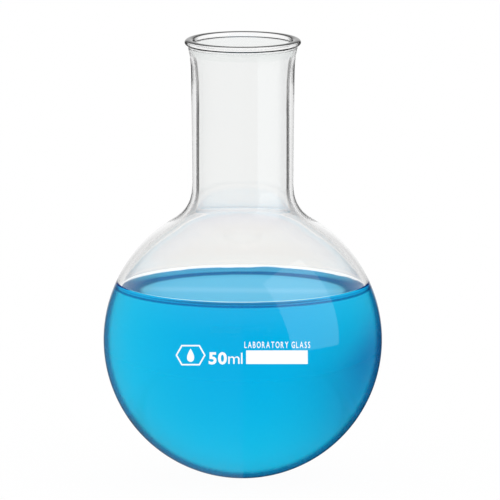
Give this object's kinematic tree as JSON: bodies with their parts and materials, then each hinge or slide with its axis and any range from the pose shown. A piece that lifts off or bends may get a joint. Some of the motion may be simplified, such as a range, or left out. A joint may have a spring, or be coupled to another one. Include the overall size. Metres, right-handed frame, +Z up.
{
  "type": "round bottom flask",
  "caption": "Round bottom laboratory flask of clear glass: a ball bulb and a straight neck with a flared lip, part filled with blue liquid, with white enamel marks on the bulb.",
  "frame": {"origin": "the lowest point of the bulb, on the flask's axis", "axes": "+Z runs up the flask's axis from the bulb to the neck, and the enamel marks face -Y"},
  "size_m": [0.051, 0.0511, 0.081],
  "materials": {
    "clear_glass": "polished",
    "blue_liquid": "gloss",
    "white_enamel": "satin"
  },
  "bodies": {
    "root": {"flask_body": "clear_glass", "blue_liquid": "blue_liquid", "marking_spot": "white_enamel", "capacity_5": "white_enamel", "capacity_0": "white_enamel", "capacity_m": "white_enamel", "capacity_l": "white_enamel", "emblem_hexagon": "white_enamel", "emblem_drop": "white_enamel", "wording_01_L": "white_enamel", "wording_02_A": "white_enamel", "wording_03_B": "white_enamel", "wording_04_O": "white_enamel", "wording_05_R": "white_enamel", "wording_06_A": "white_enamel", "wording_07_T": "white_enamel", "wording_08_O": "white_enamel", "wording_09_R": "white_enamel", "wording_10_Y": "white_enamel", "wording_11_G": "white_enamel", "wording_12_L": "white_enamel", "wording_13_A": "white_enamel", "wording_14_S": "white_enamel", "wording_15_S": "white_enamel"}
  },
  "joints": []
}
